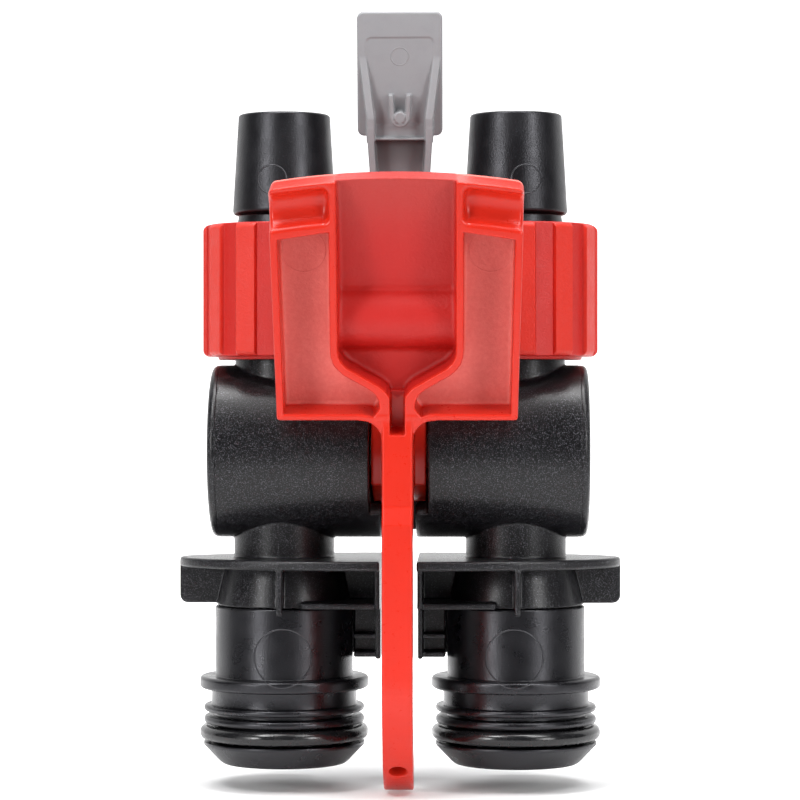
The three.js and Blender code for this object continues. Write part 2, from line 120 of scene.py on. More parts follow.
def outline(points, a, b):
    """Distance to a closed outline in two directions."""
    nearest = np.inf
    inside = False
    for (a0, b0), (a1, b1) in zip(points, points[1:] + points[:1]):
        da, db = a1 - a0, b1 - b0
        along = np.clip(((a - a0) * da + (b - b0) * db) / (da * da + db * db), 0, 1)
        nearest = np.minimum(nearest, (a - a0 - along * da) ** 2 + (b - b0 - along * db) ** 2)
        if db:
            inside = inside ^ (((b0 > b) != (b1 > b)) & (a < a0 + (b - b0) * da / db))
    return np.where(inside, -1, 1).astype(np.float32) * np.sqrt(nearest)


def sector(y, z, start, end):
    """A wedge about the plug axis. Angles run from the front, downwards."""
    start, end = math.radians(start), math.radians(end)
    after = z * math.cos(start) - y * math.sin(start)
    before = y * math.sin(end) - z * math.cos(end)
    return np.maximum(after, before)


def arc(a, b, radius, start, end, steps):
    """Points of an arc, from one angle to another in degrees."""
    turns = np.radians(np.linspace(start, end, steps + 1))
    return [(a + radius * math.cos(t), b + radius * math.sin(t)) for t in turns]


def at_angle(radius, angle):
    """A point about the plug axis, as (y, z). Angles run from the front, downwards."""
    return (-radius * math.cos(math.radians(angle)), -radius * math.sin(math.radians(angle)))


# ---- From a field to a mesh ----
CORNERS = np.array([(i, j, k) for i in (0, 1) for j in (0, 1) for k in (0, 1)])
EDGES = [
    (a, b)
    for a in range(8)
    for b in range(a + 1, 8)
    if np.abs(CORNERS[a] - CORNERS[b]).sum() == 1
]


def slope(field, points):
    """The field's direction of growth at each point, of length one."""
    reach = 0.02
    steps = np.eye(3) * reach
    growth = [field(*(points + s).T) - field(*(points - s).T) for s in steps]
    growth = np.stack(growth, 1)
    return growth / np.maximum(np.linalg.norm(growth, axis=1, keepdims=True), 1e-9)


def surface(field, low, high, step):
    """Corner points and four-sided faces on a field's zero, one corner in each grid cell it crosses."""
    axes = [np.arange(a, b + step, step, dtype=np.float32) for a, b in zip(low, high)]
    sparse = np.meshgrid(*axes, indexing="ij", sparse=True)
    value = np.broadcast_to(field(*sparse), [len(a) for a in axes])
    inside = value < 0
    nx, ny, nz = (n - 1 for n in value.shape)
    count = sum(inside[i : nx + i, j : ny + j, k : nz + k].astype(np.int8) for i, j, k in CORNERS)
    cells = (count > 0) & (count < 8)
    number = np.full(cells.shape, -1)
    number[cells] = np.arange(cells.sum())
    at = np.argwhere(cells)
    corner = value[tuple((at[:, None] + CORNERS).transpose(2, 0, 1))]
    total = np.zeros((len(at), 3))
    hits = np.zeros(len(at))
    for a, b in EDGES:
        crossed = (corner[:, a] < 0) != (corner[:, b] < 0)
        share = corner[crossed, a] / (corner[crossed, a] - corner[crossed, b])
        total[crossed] += CORNERS[a] + share[:, None] * (CORNERS[b] - CORNERS[a])
        hits[crossed] += 1
    points = np.array(low) + step * (at + total / hits[:, None])
    faces = []
    for axis in range(3):
        side, up = np.roll(np.eye(3, dtype=int), -axis, 0)[1:]
        before = np.moveaxis(inside, axis, 0)[:-1]
        after = np.moveaxis(inside, axis, 0)[1:]
        edges = np.argwhere(np.moveaxis(before != after, 0, axis))
        ring = [number[tuple((edges - off).T)] for off in (side + up, up, 0 * up, side)]
        ring = np.stack(ring, 1)
        leaving = inside[tuple(edges.T)]
        ring[~leaving] = ring[~leaving, ::-1]
        faces.append(ring)
    return points, np.concatenate(faces)


def settle(field, points, rounds=2):
    """Points moved onto the field's zero."""
    for _ in range(rounds):
        points = points - field(*points.T)[:, None] * slope(field, points)
    return points


def to_metres(points):
    """From millimetres about the plug axis to metres in the frame."""
    return (np.asarray(points) + (0, 0, LIFT)) / 1000


def object_of(name, points, faces):
    mesh = bpy.data.meshes.new(name)
    mesh.from_pydata(points, [], faces)
    mesh.update()
    obj = bpy.data.objects.new(name, mesh)
    bpy.context.scene.collection.objects.link(obj)
    return obj


def sculpt(name, field, low, high, placed=None, step=GRID, keep=0.3):
    """A smooth mesh of a field. placed moves its points from the field's own frame to the plug's frame."""
    placed = placed or (lambda points: points)
    points, faces = surface(field, low, high, step)
    points = settle(field, points)
    obj = object_of(name, points.tolist(), faces.tolist())
    thin = obj.modifiers.new("thin", "DECIMATE")
    thin.ratio = keep
    graph = bpy.context.evaluated_depsgraph_get()
    mesh = bpy.data.meshes.new_from_object(obj.evaluated_get(graph))
    obj.modifiers.clear()
    obj.data = mesh
    mesh.name = name
    flat = np.zeros(len(mesh.vertices) * 3, np.float32)
    mesh.vertices.foreach_get("co", flat)
    points = flat.reshape(-1, 3).astype(float)
    normals = slope(field, points)  # truer than the thinned faces' own
    moved = to_metres(placed(points))
    turned = to_metres(placed(points + normals)) - moved
    mesh.vertices.foreach_set("co", moved.astype(np.float32).ravel())
    mesh.shade_smooth()
    mesh.update()
    mesh.normals_split_custom_set_from_vertices((turned * 1000).tolist())
    return obj


# ---- Turned pieces ----
def softened(points, radius=0.25, steps=3):
    """The corners of a closed profile, rounded."""
    soft = []
    for i, corner in enumerate(np.array(points, float)):
        sides = [np.array(points[i - 1]) - corner, np.array(points[(i + 1) % len(points)]) - corner]
        reach = min(radius, *(0.45 * np.linalg.norm(side) for side in sides))
        start, end = (corner + side / np.linalg.norm(side) * reach for side in sides)
        for t in np.linspace(0, 1, steps + 1):
            soft.append(tuple((1 - t) ** 2 * start + 2 * t * (1 - t) * corner + t * t * end))
    return soft


def turned(name, profile, place, segments=96):
    """A closed profile of (radius, height), turned into a ring. place moves it to the plug's frame."""
    turns = np.linspace(0, 2 * math.pi, segments, endpoint=False)
    rings = []
    for radius, height in np.array(profile):
        ring = [radius * np.cos(turns), radius * np.sin(turns), np.full(segments, height)]
        rings.append(np.stack(ring, 1))
    points = to_metres(place(np.concatenate(rings)))
    faces = []
    for i in range(len(profile)):
        low, high = i * segments, (i + 1) % len(profile) * segments
        for j in range(segments):
            k = (j + 1) % segments
            faces.append((low + j, low + k, high + k, high + j))
    obj = object_of(name, points.tolist(), faces)
    obj.data.shade_smooth()
    return obj


def upright(side):
    """Moves a piece from the middle to the left or right column."""
    return lambda points: points + (side * COLUMN_X, 0, 0)


def sideways(side):
    """Turns a piece from +Z to point outwards along the plug axis."""
    return lambda points: points[:, [2, 1, 0]] * (side, 1, -side)


# ---- Black mouldings ----
FLANGE_HALF_X = 41.8
FLANGE_FRONT = 19.5
FLANGE_BACK = 15
KEY_BOTTOM = -28.8
KEY_HALF = 0.8
GUSSET_HALF = 0.55
FRONT_GUSSET = [
    (-9, SEAT_Z + 1),
    (-16.4, SEAT_Z + 1),
    (-16.4, -29.6),
    (-15.8, -30.3),
    (-14.8, -30.3),
    (-14.2, CONE_BOTTOM_Z),
    (-9, CONE_BOTTOM_Z),
]
BACK_GUSSET = [(9, SEAT_Z + 1), (12.6, SEAT_Z + 1), (12.6, CONE_BOTTOM_Z), (9, CONE_BOTTOM_Z)]
CONE_R = 12.7  # at the bottom of the cone
CONE_TAPER = 1.7
NECK_R = 9.3
THREAD_R = 11
FOOT_R = 9.5
EAR_X = 6.45
EAR_HALF = 0.85
SEAT_END_Z = 14.2
SPIGOT_SOCKET_R = 10.3
SPIGOT_SOCKET_Z = -24.1
CAVITY_END_X = 11.9
ARM_SLOT_R = 19.8
ARM_SLOT_HALF = 3.15
EAR = [(4.5, 12), (6.8, PIN_Z), *arc(PIN_Y, PIN_Z, 3.2, 150, 0, 12), (13.6, 12), (12, 6)]


def flange_field(x, y, z):
    """The oval plate with its ribs. x is measured from the plane of symmetry."""
    depth = np.where(y < 0, FLANGE_FRONT, FLANGE_BACK)
    reach = np.hypot(x / FLANGE_HALF_X, y / depth)
    growth = np.hypot(x / FLANGE_HALF_X**2, y / depth**2)
    oval = (reach - 1) * reach / np.maximum(growth, 1e-6)
    plate = both(oval, between(z, SEAT_Z, PLATE_TOP_Z), 0.5)
    key_corner = arc(FLANGE_HALF_X - 1.5, KEY_BOTTOM + 1.5, 1.5, -90, 0, 6)
    key = [(COLUMN_X, SEAT_Z + 1), (COLUMN_X, KEY_BOTTOM), *key_corner, (FLANGE_HALF_X, SEAT_Z + 1)]
    ribs = both(outline(key, x, z), np.abs(y) - KEY_HALF)
    for gusset in (FRONT_GUSSET, BACK_GUSSET):
        ribs = np.minimum(ribs, both(outline(gusset, y, z), np.abs(x - COLUMN_X) - GUSSET_HALF, 0.25))
    wall = (CHANNEL_HALF, CHANNEL_HALF + 1)
    root = wall[1] - 0.2
    fin = (root, 8.65)
    middle = (-KEY_HALF, KEY_HALF)
    below_cone = (CHANNEL_BOTTOM_Z, CONE_BOTTOM_Z + 0.5)
    plates = [
        (wall, (-15, 13.5), (CONE_BOTTOM_Z, SEAT_Z + 1)),
        (wall, (-8, 8), (CHANNEL_BOTTOM_Z, CONE_BOTTOM_Z + 1)),
        ((CHANNEL_HALF, 18), (-14.5, 13), (CONE_BOTTOM_Z, CONE_BOTTOM_Z + 1.1)),
        ((root, 12), middle, (CONE_BOTTOM_Z, SEAT_Z + 1)),
        ((root, 9.9), (6.2, 7.2), below_cone),
        (fin, middle, below_cone),
        (fin, (-4, 4), (CHANNEL_BOTTOM_Z, CHANNEL_BOTTOM_Z + 1)),
        (fin, (-4, 4), (-35.3, -34.4)),
    ]
    for ranges in plates:
        ribs = add(ribs, block((x, y, z), ranges), 0.25)
    flange = np.maximum(add(plate, ribs, 0.4), x - FLANGE_HALF_X)
    return take(flange, x - CHANNEL_HALF)


def body_field(x, y, z):
    """The valve body: barrel, necks, ears, flange and cones, less the bores."""
    x = np.abs(x)
    column = np.hypot(x - COLUMN_X, y)
    hub = np.hypot(y, z)
    cone_share = (z - CONE_BOTTOM_Z) / (SEAT_Z - CONE_BOTTOM_Z)
    cone_r = CONE_R - CONE_TAPER * cone_share
    cone = both(column - cone_r, between(z, CONE_BOTTOM_Z, SEAT_Z + 0.5), 0.2)
    neck = both(column - NECK_R, between(z, 0, 19.5))
    thread = both(column - THREAD_R, between(z, 18.5, NECK_TOP_Z), 0.5)
    foot = both(column - FOOT_R, between(z, SEAT_Z, 0))
    ear = both(outline(EAR, y, z), np.abs(x - EAR_X) - EAR_HALF)
    barrel = both(hub - BARREL_R, x - BARREL_HALF, 0.05)
    barrel = add(add(add(barrel, neck, 0.3), foot, 0.3), ear, 0.4)
    whole = add(add(barrel, thread), add(flange_field(x, y, z), cone, 0.3), 0.4)
    slot = x - (DRUM_HALF + GAP)
    bores = [
        column - PORT_R,
        both(column - SOCKET_R, np.abs(z) - SEAT_END_Z, 0.1),
        both(column - SOCKET_R, TAIL_SOCKET_Z - z, 0.1),
        both(column - SPIGOT_SOCKET_R, z - SPIGOT_SOCKET_Z, 0.1),
        both(hub - CAVITY_R, CAVITY_END_X - x, 0.2),
        hub - (STEM_R + GAP),
        np.hypot(y - PIN_Y, z - PIN_Z) - (PIN_R + GAP),
        both(hub - (DRUM_R + DRUM_CLEARANCE), slot),
        both(sector(y, z, -135, 45), slot),
        both(both(sector(y, z, 43, 97), hub - (CAM_R + DRUM_CLEARANCE)), slot),
        both(both(sector(y, z, 40, 111), hub - ARM_SLOT_R), x - ARM_SLOT_HALF),
    ]
    hollow = bores[0]
    for bore in bores[1:]:
        hollow = np.minimum(hollow, bore)
    return take(whole, hollow, 0.3)


# Turned profiles of (radius, height). The end cap's height runs outwards along the plug axis.
TAIL = [
    (8.3, TAIL_SOCKET_Z + GAP),
    (8.3, NECK_TOP_Z + GAP),
    (10.4, NECK_TOP_Z + GAP),
    (10.4, 36.2),
    (8.6, 44.6),
    (9.5, 44.9),
    (9.75, 45.4),
    (8.68, 63.5),
    (8.4, 63.8),
    (7, 63.8),
    (6.3, 62.8),
    (6.3, TAIL_SOCKET_Z + GAP),
]
SPIGOT = [
    (9.8, -59.1),
    (11.6, -59.1),
    (12.3, -58.6),
    (15.3, -55.5),
    (15.3, -54.9),
    (12.9, -54.9),
    (12.9, -51.4),
    (15, -51.4),
    (15.3, -50.7),
    (15, -50),
    (13, -50),
    (13, -49.1),
    (15, -49.1),
    (15.3, -48.5),
    (15, -47.9),
    (13.8, -47.9),
    (13.8, -44.8),
    (15.6, -44.8),
    (16, -44.4),
    (16, -42.9),
    (15.6, -42.5),
    (13.05, -42.5),
    (13.05, -29.5),
    (12.85, -29.25),
    (10, -29.25),
    (10, -24.4),
    (8.4, -24.4),
    (8.4, -32),
    (9.8, -34),
]
END_CAP = [
    (0.01, 33.8),
    (0.4, 33.8),
    (3.8, 33.8),
    (3.8, 31.3),
    (12.2, 31.3),
    (12.2, 32.2),
    (10.7, 32.2),
    (10.7, 33.95),
    (16.28, 33.95),
    (16.24, 34.6),
    (16.0, 35.1),
    (15.6, 35.38),
    (15, 35.5),
    (0.4, 35.5),
    (0.01, 35.5),
]


# ---- Lock nuts ----
def nut_field(x, y, z):
    """A nut about its own column, with twelve ribs."""
    valley_r, crest_r, collar_r, bore_r = 14.7, 15.5, 12.5, 11.3
    rim = []
    for i in range(12):
        middle = 30 * i - 85
        for radius, off in ((valley_r, -8.4), (crest_r, -7.2), (crest_r, 7.2), (valley_r, 8.4)):
            turn = math.radians(middle + off)
            rim.append((radius * math.cos(turn), radius * math.sin(turn)))
    radius = np.hypot(x, y)
    low, high = 17.9, 42.8
    skirt = both(outline(rim, x, y), between(z, low, high), 0.2)
    corner = both(radius + (low - z) - valley_r, radius + (z - high) - valley_r, 0.2)
    collar = both(radius - collar_r, between(z, low - 0.6, low + 2))
    widening = 0.7 * np.clip((z - 32) / 2, 0, 1)
    return take(add(both(skirt, corner, 0.3), collar, 0.2), radius - (bore_r + widening), 0.4)


# ---- Cam lever, in the paddle's frame: x across, u up and n out of its open face ----
def paddle_yz(u, n):
    """Where a point of the paddle's frame lies about the plug axis."""
    y = PADDLE_Y - math.sin(PADDLE_LEAN) * u - math.cos(PADDLE_LEAN) * n
    z = PADDLE_Z + math.cos(PADDLE_LEAN) * u - math.sin(PADDLE_LEAN) * n
    return y, z


def from_paddle(points):
    x, u, n = np.asarray(points).T
    return np.stack([x, *paddle_yz(u, n)], 1)


def arm_outline():
    """The arm from the side, as (y, z). Its lower end curves inwards and thins towards the toe."""
    outer_r, inner_r, thinning = 22.6, 14.6, 1.8
    sweep, steps = 73, 24
    outer = arc(TOE_Y, TOE_Z, -outer_r, 0, sweep, steps)
    inner = []
    for i in range(steps + 1):
        radius = inner_r + thinning * i / steps
        inner += arc(TOE_Y, TOE_Z, -radius, sweep * i / steps, sweep * i / steps, 0)
    front = [(PADDLE_Y, 6.5), (PADDLE_Y, -9.8), (-25.5, -13)]
    return front + outer + inner[::-1] + [(-17.5, 8)]


# The web that joins the arm to the drum, as (y, z).
ARM_WEB = [(-8, 5), (-13, 7.5), (-16.3, 9), (-20, 8), (-20, -14), (-17.5, -16), (-8, -8), (-4, 0)]
ROLL_U = 17.3  # the rounded bar across the middle channel
ROLL_N = -9.08
ROLL_R = 5.78
DRIVE_HALF = 3.5
# Outlines of the paddle's hollows: POCKET and FUNNEL as (x, u), CHANNEL as (u, n).
POCKET = [
    *arc(6.8, -4, 5.2, 118, 90, 4),
    (20.6, 1.2),
    (21.3, 33.4),
    (PADDLE_WALL[1], 34.8),
    (PADDLE_WALL[1], 13.2),
    (12, 11.8),
    (11.6, 10.5),
    (10.9, 9.5),
    (9.7, 8.4),
    (4.9, 5.6),
    (3.9, 4.7),
    (3.35, 3.5),
    (3.2, 2.2),
]
FUNNEL = [
    (-9, 52),
    (PADDLE_WALL[0], 52),
    (PADDLE_WALL[0], 13),
    (10.5, 11.7),
    (9.9, 10.6),
    (8.9, 9.6),
    (2.9, 6.1),
    (1.95, 5.2),
    (1.5, 4.4),
    (1.4, 4.0),
    (-9, 4.0),
]
CHANNEL = [
    (50, 0.5),
    (47, -0.9),
    (44, -2.2),
    (40, -3.9),
    (36, -5.3),
    (30, -6.7),
    (25, PADDLE_FLOOR),
    (4, PADDLE_FLOOR),
    (4, 3),
    (50, 3),
]


def paddle_field(x, u, n):
    """The open paddle. x is measured from the plane of symmetry."""
    bottom_half, top_half, shoulder, arch_r = 21.9, 22.9, 42.6, 146
    arch_u = shoulder - math.sqrt(arch_r**2 - top_half**2)
    flare = math.atan2(top_half - bottom_half, shoulder)
    wall = (x - bottom_half) * math.cos(flare) - u * math.sin(flare)
    arch = np.hypot(x, u - arch_u) - arch_r
    face = both(both(wall, arch, 1.2), -u, 0.6)
    slab = both(face, between(n, -PADDLE_DEPTH, 0), 0.4)
    sweep_r = 4
    corner = ARM_HALF + sweep_r
    fillet = both(x - corner, between(u, -sweep_r, 1), 0)
    fillet = both(fillet, sweep_r - np.hypot(x - corner, u + sweep_r), 0)
    slab = add(slab, both(fillet, between(n, -5, 0), 0.3), 0.3)
    pocket = both(outline(POCKET, x, u), PADDLE_FLOOR - n, 0.7)
    cove_u = 40.2 - x**2 / (2 * arch_r)
    cove = both(np.hypot(u - cove_u, n - 0.6) - 3.3, PADDLE_WALL[1] - x, 1.2)
    roll = np.hypot(u - ROLL_U, n - ROLL_N)
    channel = both(both(outline(CHANNEL, u, n), ROLL_R - roll, 0.9), outline(FUNNEL, x, u), 0.9)
    finger_recess = both(roll - 4.4, x - PADDLE_WALL[0], 0.5)
    for hollow in (pocket, channel, finger_recess):
        slab = take(slab, hollow, 0.35)
    return take(slab, cove, 0.8)


def cam_field(x, u, n):
    """The whole cam lever: paddle, arm and drum."""
    x = np.abs(x)
    y, z = paddle_yz(u, n)
    hub = np.hypot(y, z)
    drum = add(hub - DRUM_R, both(sector(y, z, -55, 30), hub - CAM_R, 0.5), 0.3)
    drum = both(drum, x - DRUM_HALF, 0.4)
    arm = add(outline(arm_outline(), y, z), outline(ARM_WEB, y, z), 0.5)
    arm = both(arm, x - ARM_HALF, 0.4)
    lever = add(add(paddle_field(x, u, n), arm, 0.3), drum, 0.5)
    dy, dz = y - TOE_Y, z - TOE_Z
    sin, cos = math.sin(TOE_HOLE_ANGLE), math.cos(TOE_HOLE_ANGLE)
    across = np.hypot(x, dy * sin - dz * cos)
    hole = np.maximum(across - TOE_HOLE_R, dy * cos + dz * sin + 10)
    stem_slot = both(both(x - 1.35, between(u, -2.6, 6), 0.3), -5.6 - n, 0.3)
    drive = both(np.maximum(np.abs(y), np.abs(z)) - DRIVE_HALF, x - 6, 0.1)
    for hollow in (hole, stem_slot, drive):
        lever = take(lever, hollow, 0.25)
    return lever


# ---- Release lever, in its own frame: the pin is the origin and z runs up the lever ----
def from_release(points):
    x, along, up = np.asarray(points).T
    y = PIN_Y + math.cos(RELEASE_LEAN) * along - math.sin(RELEASE_LEAN) * up
    z = PIN_Z + math.sin(RELEASE_LEAN) * along + math.cos(RELEASE_LEAN) * up
    return np.stack([x, y, z], 1)


def in_release(y, z):
    """A point about the plug axis, in the release lever's frame."""
    dy, dz = y - PIN_Y, z - PIN_Z
    return (
        dy * math.cos(RELEASE_LEAN) + dz * math.sin(RELEASE_LEAN),
        dz * math.cos(RELEASE_LEAN) - dy * math.sin(RELEASE_LEAN),
    )


# The pawl that hooks over the drum, as (y, z) about the plug axis.
HOOK = [
    at_angle(10.1, -58),
    at_angle(10.1, -72),
    at_angle(10.8, -76),
    at_angle(10.8, -95),
    at_angle(10.8, -115),
    (PIN_Y - 1, PIN_Z - 3),
    (PIN_Y, PIN_Z),
    (PIN_Y - 2, PIN_Z + 2.6),
    at_angle(16.5, -104),
    at_angle(14.2, -93),
    at_angle(13.4, -78),
    at_angle(13.2, -58),
]
RIB = [(-2.5, 42.4), (0.5, 42.4), (0.5, 58.5), (0, 58.5), (-2.5, 46.9)]


def release_field(x, y, z):
    """The release lever: a channelled stem, a thumb plate with two ribs, a boss and a hook."""
    x = np.abs(x)
    plate_low, high, back = 43.4, 66.9, 1.5
    foot_half, flare, leg = 3.4, 0.065, 1.3
    flank = (x - foot_half - flare * z) / math.hypot(1, flare)
    stem = both(both(flank, between(z, 1.5, plate_low + 2)), between(y, -2.5, back), 0.3)
    inside = flank + leg
    stem = take(stem, both(both(inside, between(z, 2.5, plate_low - 0.7)), y - 0.9, 0.4), 0.2)
    stem = take(stem, both(both(inside, between(z, plate_low - 0.2, plate_low + 3)), y, 0.3), 0.15)
    stem = take(stem, both(both(inside, between(z, 2.5, plate_low + 3)), y + 1.2, 0.3), 0.2)
    face = block((x, z, 0 * x), ((-8.1, 8.1), (plate_low, high), (-9, 9)), 1.3)
    plate = both(face, between(y, 0, back), 0.4)
    rib_middle = 5.55 + 0.13 * np.maximum(z - 46.9, 0)
    ribs = both(outline(RIB, y, z), np.abs(x - rib_middle) - 0.78, 0.3)
    dish = block((x, z, 0 * x), ((-9, 6.3), (30, 62), (-9, 9)), 1.0)
    plate = take(plate, both(dish, y - 0.12, 0.1), 0.25)
    bend_z = 47.2
    spread = 1.45 + 0.06 * np.maximum(z - bend_z, 0)
    prongs = both(np.abs(np.hypot(x, np.minimum(z - bend_z, 0)) - spread) - 0.46, between(z, 44, 51.4))
    prongs = both(prongs, between(y, -2.2, 0.5), 0.2)
    peg = both(np.hypot(x, z - bend_z + 0.1) - 1.15, between(y, -2.4, 0.5), 0.2)
    boss = both(np.hypot(y, z) - 3.4, x - RELEASE_HALF, 0.4)
    hook = both(outline([in_release(*point) for point in HOOK], y, z), x - RELEASE_HALF, 0.35)
    lever = add(add(stem, plate, 0.2), add(ribs, add(prongs, peg, 0.1), 0), 0.12)
    lever = add(lever, add(boss, hook, 0.4), 0.5)
    lever = take(lever, both(np.hypot(y, z) - 4.2, x - 2.7), 0.25)
    return take(lever, np.hypot(y, z) - (PIN_R + GAP), 0.25)


# ---- Materials ----
class Look:
    """A procedural material. Lengths in its patterns are millimetres about the piece's own origin."""

    def __init__(self, name, colour, roughness, specular=0.5):
        self.material = bpy.data.materials.new(name)
        self.material.use_nodes = True
        self.tree = self.material.node_tree
        self.shader = self.tree.nodes["Principled BSDF"]
        self.shader.inputs["Base Color"].default_value = (*colour, 1)
        self.shader.inputs["Roughness"].default_value = roughness
        self.shader.inputs["Specular IOR Level"].default_value = specular
        place = self.tree.nodes.new("ShaderNodeTexCoord").outputs["Object"]
        scale = self.tree.nodes.new("ShaderNodeVectorMath")
        scale.operation = "SCALE"
        scale.inputs["Scale"].default_value = 1000
        self.link(place, scale.inputs[0])
        self.place = scale.outputs[0]
        self.normal = None

    def link(self, source, target):
        self.tree.links.new(source, target)

    def maths(self, operation, *values):
        """One sum, of numbers or of other nodes' values."""
        node = self.tree.nodes.new("ShaderNodeMath")
        node.operation = operation
        for socket, value in zip(node.inputs, values):
            if isinstance(value, (int, float)):
                socket.default_value = value
            else:
                self.link(value, socket)
        return node.outputs[0]

    def times(self, first, second):
        return self.maths("MULTIPLY", first, second)

    def minus(self, first, second):
        return self.maths("SUBTRACT", first, second)

    def span(self, across, up):
        """The distance that two offsets at right angles make."""
        squares = self.maths("ADD", self.times(across, across), self.times(up, up))
        return self.maths("SQRT", squares)

    def sideways(self):
        """How far a point lies to either side of the plane of symmetry."""
        return self.maths("ABSOLUTE", self.along((1, 0, 0)))

    def along(self, direction, origin=(0, 0, 0)):
        """How far a point lies along a direction from an origin."""
        offset = self.tree.nodes.new("ShaderNodeVectorMath")
        offset.operation = "SUBTRACT"
        self.link(self.place, offset.inputs[0])
        offset.inputs[1].default_value = origin
        node = self.tree.nodes.new("ShaderNodeVectorMath")
        node.operation = "DOT_PRODUCT"
        self.link(offset.outputs[0], node.inputs[0])
        node.inputs[1].default_value = direction
        return node.outputs["Value"]

    def noise(self, size, detail=2, rough=0.5, stretch=(1, 1, 1)):
        """Cloudy values with lumps of about that size."""
        shape = self.tree.nodes.new("ShaderNodeVectorMath")
        shape.operation = "MULTIPLY"
        self.link(self.place, shape.inputs[0])
        shape.inputs[1].default_value = stretch
        node = self.tree.nodes.new("ShaderNodeTexNoise")
        node.inputs["Scale"].default_value = 1 / size
        node.inputs["Detail"].default_value = detail
        node.inputs["Roughness"].default_value = rough
        self.link(shape.outputs[0], node.inputs["Vector"])
        return node.outputs["Fac"]

    def ramp(self, value, low, high, start=0.0, end=1.0):
        """Carries a value from one range to another, smoothly and within its limits."""
        node = self.tree.nodes.new("ShaderNodeMapRange")
        node.interpolation_type = "SMOOTHSTEP"
        self.link(value, node.inputs["Value"])
        for name, number in (("From Min", low), ("From Max", high), ("To Min", start), ("To Max", end)):
            node.inputs[name].default_value = number
        return node.outputs["Result"]

    def tint(self, share, colour):
        """Mixes another colour into the piece's own."""
        mix = self.tree.nodes.new("ShaderNodeMix")
        mix.data_type = "RGBA"
        base = self.shader.inputs["Base Color"]
        if base.is_linked:
            self.link(base.links[0].from_socket, mix.inputs["A"])
        else:
            mix.inputs["A"].default_value = base.default_value
        mix.inputs["B"].default_value = (*colour, 1)
        self.link(share, mix.inputs["Factor"])
        self.link(mix.outputs["Result"], base)

    def roughness(self, value):
        self.link(value, self.shader.inputs["Roughness"])

    def patchy(self, low, high, size, detail, **more):
        """Roughness that drifts between two values, in patches of about that size."""
        self.roughness(self.ramp(self.noise(size, detail, **more), 0.3, 0.7, low, high))

    def bump(self, height, depth):
        """Raises the surface by depth millimetres where height is one."""
        node = self.tree.nodes.new("ShaderNodeBump")
        node.inputs["Distance"].default_value = depth / 1000
        self.link(height, node.inputs["Height"])
        if self.normal:
            self.link(self.normal, node.inputs["Normal"])
        self.normal = node.outputs["Normal"]
        self.link(self.normal, self.shader.inputs["Normal"])


BLACK = (0.0035, 0.0033, 0.0042)
PAINTED_GLINT_GREY = (0.14, 0.14, 0.157)
RED = (0.6, 0.02, 0.008)
CHANNEL_SHADE_RED = (0.48, 0.01, 0.007)
DULL_RED = (0.42, 0.06, 0.05)
POCKET_SHEEN_RED = (0.84, 0.2, 0.168)
GREY = (0.31, 0.312, 0.326)
PADDLE_OUT = (0, -math.cos(PADDLE_LEAN), -math.sin(PADDLE_LEAN))
PADDLE_UP = (0, -math.sin(PADDLE_LEAN), math.cos(PADDLE_LEAN))
RELEASE_BACK = (0, math.cos(RELEASE_LEAN), math.sin(RELEASE_LEAN))
RELEASE_UP = (0, -math.sin(RELEASE_LEAN), math.cos(RELEASE_LEAN))


def ring_mark(look, across, up, radius):
    """A faint round witness line, as a mould's ejector leaves."""
    line_width = 0.16
    off = look.maths("ABSOLUTE", look.minus(look.span(across, up), radius))
    return look.ramp(off, 0.0, line_width, 1.0, 0.0)


def grained_black():
    """Spark-eroded grain: a fine pebble with sparse metallic facets that glitter in the light, with a
    painted glint in their paler colour.
    """
    look = Look("black_grained_plastic", BLACK, 0.3, specular=0.34)
    look.bump(look.noise(0.34, 2, 0.6), 0.018)
    facet = look.ramp(look.noise(0.17, 1), 0.58, 0.7)
    look.bump(facet, 0.02)
    # painted glint: the facets are tinted a paler grey, on top of their real metallic reflection
    look.tint(facet, PAINTED_GLINT_GREY)
    look.link(look.times(facet, 0.45), look.shader.inputs["Metallic"])
    look.roughness(look.ramp(facet, 0, 1, 0.3, 0.2))
    return look.material


def marked_black(name, across_mm, mark_z, radius, satin=0.3):
    """Smooth black with a round witness line on the front of each column."""
    look = Look(name, BLACK, 0.3)
    look.shader.inputs["Specular Tint"].default_value = (0.93, 0.93, 1, 1)
    look.patchy(satin - 0.04, satin + 0.05, 4, 3)
    look.tint(look.ramp(look.noise(0.25, 1), 0.62, 0.75, 0.0, 0.5), (0.03, 0.032, 0.04))
    look.bump(look.noise(0.3, 2), 0.1 * satin)
    across = look.minus(look.sideways(), across_mm)
    up = look.along((0, 0, 1), (0, 0, mark_z + LIFT))
    front = look.ramp(look.along((0, 1, 0)), -4, -2, 1.0, 0.0)
    mark = look.times(ring_mark(look, across, up, radius), front)
    look.bump(mark, 0.05)
    look.tint(look.times(mark, 0.5), (0.06, 0.06, 0.065))
    return look.material


